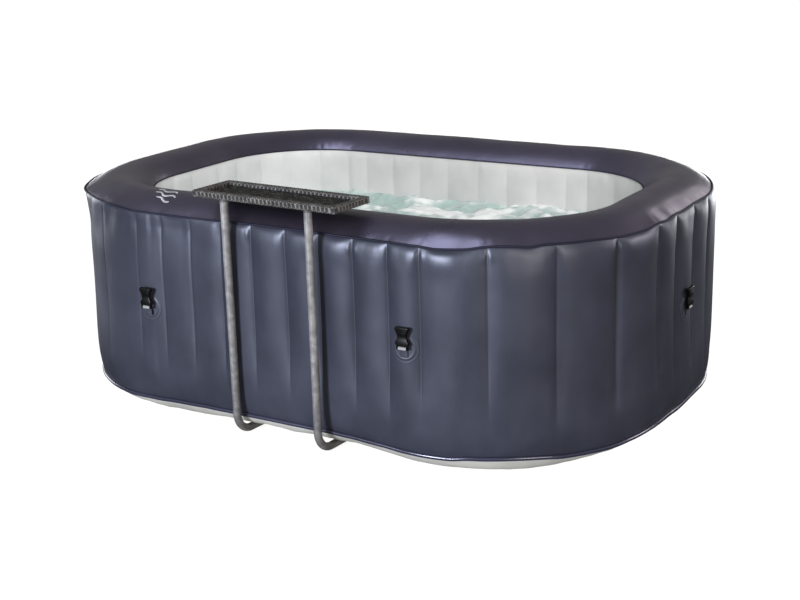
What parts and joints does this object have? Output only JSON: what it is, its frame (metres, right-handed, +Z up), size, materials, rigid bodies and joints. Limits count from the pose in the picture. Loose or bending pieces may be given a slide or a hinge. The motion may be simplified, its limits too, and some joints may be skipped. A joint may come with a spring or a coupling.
{
  "type": "inflatable hot tub",
  "caption": "Oval inflatable hot tub with fluted, welded-web walls, a domed rim, a light liner, a bubble ring, heater ports on the back, cover buckles and a slide-in rattan tray stand.",
  "frame": {"origin": "centre of the tub's footprint, on the surface that it stands on", "axes": "+Z up; +X along the tub's long side; -Y towards the long side that carries the tray stand; +Y towards the heater ports"},
  "size_m": [1.8882, 1.3973, 0.692],
  "materials": {
    "wall_skin": "reinforced PVC laminate, dark navy with a soft sheen",
    "rim_skin": "reinforced PVC laminate, dark navy with a purple sheen",
    "liner": "smooth PVC laminate, light grey",
    "base_skin": "PVC sheet, light grey, matt",
    "foam": "closed-cell foam mat",
    "web": "coated web fabric, sealed inside",
    "piping": "welded PVC piping, navy",
    "grey_plastic": "moulded plastic, light grey",
    "black_plastic": "moulded plastic, black",
    "white_plastic": "moulded plastic, white",
    "soft_black": "soft plastic strap, black",
    "seal_rubber": "seal rubber",
    "filter_paper": "pleated filter medium with moulded end rings",
    "steel": "bright plated steel",
    "patch": "welded PVC patch, navy",
    "webbing": "woven webbing, black",
    "buckle": "moulded plastic, black, semi-gloss",
    "rattan": "woven synthetic rattan, dark brown-grey",
    "rattan_floor": "woven synthetic rattan, dark brown-grey",
    "arm_steel": "grey powder coat",
    "tube": "satin grey-taupe metallic powder coat"
  },
  "bodies": {
    "tub": {"outer_wall_skin": "wall_skin", "rim_skin": "rim_skin", "inner_wall_liner": "liner", "floor_liner": "liner", "floor_foam": "foam", "base_skin": "base_skin", "wall_webs": "web", "top_seam_piping": "piping", "bottom_seam_piping": "piping", "inner_rim_piping": "piping", "bubble_ring": "grey_plastic", "air_duct": "grey_plastic", "water_outlet_port": "grey_plastic", "water_inlet_port": "grey_plastic", "air_port": "grey_plastic", "port_lock_nuts": "grey_plastic", "port_gaskets": "seal_rubber", "outlet_diffuser": "grey_plastic", "filter_base": "grey_plastic", "drain_valve_body": "black_plastic", "drain_lock_nut": "black_plastic", "inflation_valve_body": "black_plastic", "inflation_valve_spring": "steel", "buckle_patches": "patch", "webbing_loops": "webbing"},
    "tray_stand": {"tray_frame": "rattan", "tray_floor": "rattan_floor", "tray_arms": "arm_steel", "tray_screws": "steel", "leg_tube_left": "tube", "leg_tube_right": "tube", "leg_top_inserts": "black_plastic", "leg_end_caps": "black_plastic"},
    "filter_cage": {"filter_cage": "grey_plastic"},
    "filter_cartridge": {"filter_cartridge": "filter_paper"},
    "drain_tether": {"drain_cap_tether": "soft_black"},
    "drain_cap": {"drain_cap": "black_plastic", "drain_cap_seal": "seal_rubber"},
    "inflation_tether": {"inflation_cap_tether": "soft_black"},
    "inflation_cap": {"inflation_cap": "black_plastic"},
    "inflation_stem": {"inflation_valve_stem": "white_plastic", "inflation_valve_seal": "seal_rubber"},
    "buckle_front_left": {"buckle_front_left": "buckle"},
    "buckle_front_right": {"buckle_front_right": "buckle"},
    "buckle_right_end": {"buckle_right_end": "buckle"},
    "buckle_left_end": {"buckle_left_end": "buckle"},
    "buckle_back_left": {"buckle_back_left": "buckle"},
    "buckle_back_right": {"buckle_back_right": "buckle"}
  },
  "joints": [
    {"name": "stand_slide", "type": "slide", "parent": "tub", "child": "tray_stand", "axis": [-0.0523, -0.9986, 0], "range_m": [0, 0.35]},
    {"name": "buckle_front_left_tilt", "type": "hinge", "parent": "tub", "child": "buckle_front_left", "pos_m": [-0.421, -0.6606, 0.333], "axis": [1, 0, 0], "range_deg": [0, 160]},
    {"name": "buckle_front_right_tilt", "type": "hinge", "parent": "tub", "child": "buckle_front_right", "pos_m": [0.421, -0.6606, 0.333], "axis": [1, 0, 0], "range_deg": [0, 160]},
    {"name": "buckle_right_end_tilt", "type": "hinge", "parent": "tub", "child": "buckle_right_end", "pos_m": [0.9386, 0, 0.333], "axis": [0, 1, 0], "range_deg": [0, 160]},
    {"name": "buckle_left_end_tilt", "type": "hinge", "parent": "tub", "child": "buckle_left_end", "pos_m": [-0.9386, 0, 0.333], "axis": [0, -1, 0], "range_deg": [0, 160]},
    {"name": "buckle_back_left_tilt", "type": "hinge", "parent": "tub", "child": "buckle_back_left", "pos_m": [-0.421, 0.6606, 0.333], "axis": [-1, 0, 0], "range_deg": [0, 160]},
    {"name": "buckle_back_right_tilt", "type": "hinge", "parent": "tub", "child": "buckle_back_right", "pos_m": [0.421, 0.6606, 0.333], "axis": [-1, 0, 0], "range_deg": [0, 160]},
    {"name": "filter_cage_pull", "type": "slide", "parent": "tub", "child": "filter_cage", "axis": [0, -1, 0], "range_m": [0, 0.24]},
    {"name": "filter_cartridge_pull", "type": "slide", "parent": "tub", "child": "filter_cartridge", "axis": [0, -1, 0], "range_m": [0, 0.12]},
    {"name": "drain_cap_draw", "type": "slide", "parent": "tub", "child": "drain_tether", "axis": [0, 1, 0], "range_m": [0, 0.016]},
    {"name": "drain_cap_turn", "type": "hinge", "parent": "drain_tether", "child": "drain_cap", "pos_m": [0.314, 0.68, 0.096], "axis": [0, 1, 0], "range_deg": [0, 540]},
    {"name": "inflation_cap_draw", "type": "slide", "parent": "tub", "child": "inflation_tether", "axis": [0, 1, 0], "range_m": [0, 0.018]},
    {"name": "inflation_cap_turn", "type": "hinge", "parent": "inflation_tether", "child": "inflation_cap", "pos_m": [-0.314, 0.66, 0.43], "axis": [0, 1, 0], "range_deg": [0, 90]},
    {"name": "inflation_stem_press", "type": "slide", "parent": "tub", "child": "inflation_stem", "axis": [0, -1, 0], "range_m": [0, 0.004], "stiffness_N_per_m": 900, "springref_m": -0.002, "deforming": ["inflation_valve_spring"]}
  ],
  "couplings": [
    {"joint": "filter_cartridge_pull", "follows": "filter_cage_pull", "ratio": 0.5},
    {"joint": "drain_cap_turn", "follows": "drain_cap_draw", "rad_per_m": 589},
    {"joint": "inflation_cap_turn", "follows": "inflation_cap_draw", "rad_per_m": 87.2}
  ]
}
